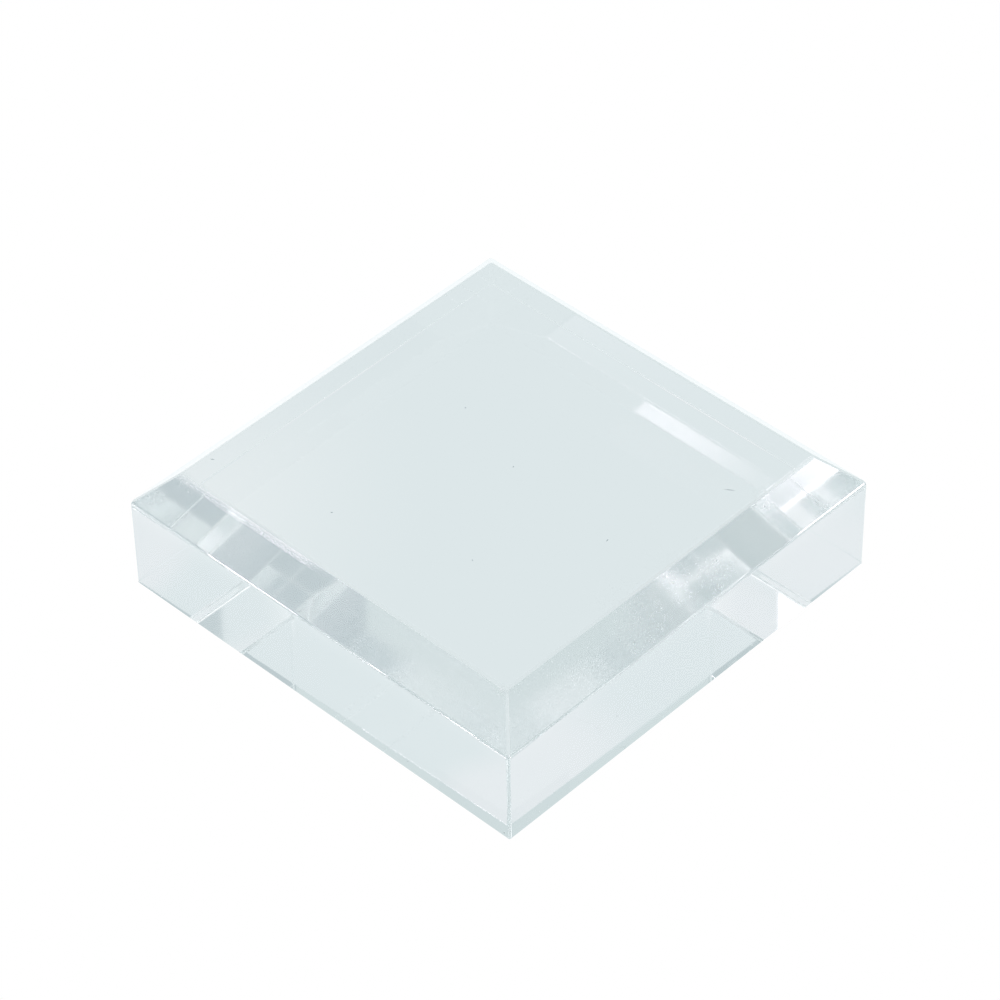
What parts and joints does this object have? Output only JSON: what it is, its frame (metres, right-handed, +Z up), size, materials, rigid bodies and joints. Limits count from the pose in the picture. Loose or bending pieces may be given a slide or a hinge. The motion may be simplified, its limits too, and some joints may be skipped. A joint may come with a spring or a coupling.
{
  "type": "bevelled acrylic display block",
  "caption": "Low square block of clear solid acrylic, bevelled round its top face and polished, used to raise and present a small object on a shelf or in a showcase.",
  "frame": {"origin": "centre of the flat base face", "axes": "+Z up, out of the top face; X and Y square to the sides"},
  "size_m": [0.07, 0.07, 0.02],
  "materials": {
    "clear_acrylic": "polished"
  },
  "bodies": {
    "root": {"display_block": "clear_acrylic"}
  },
  "joints": []
}
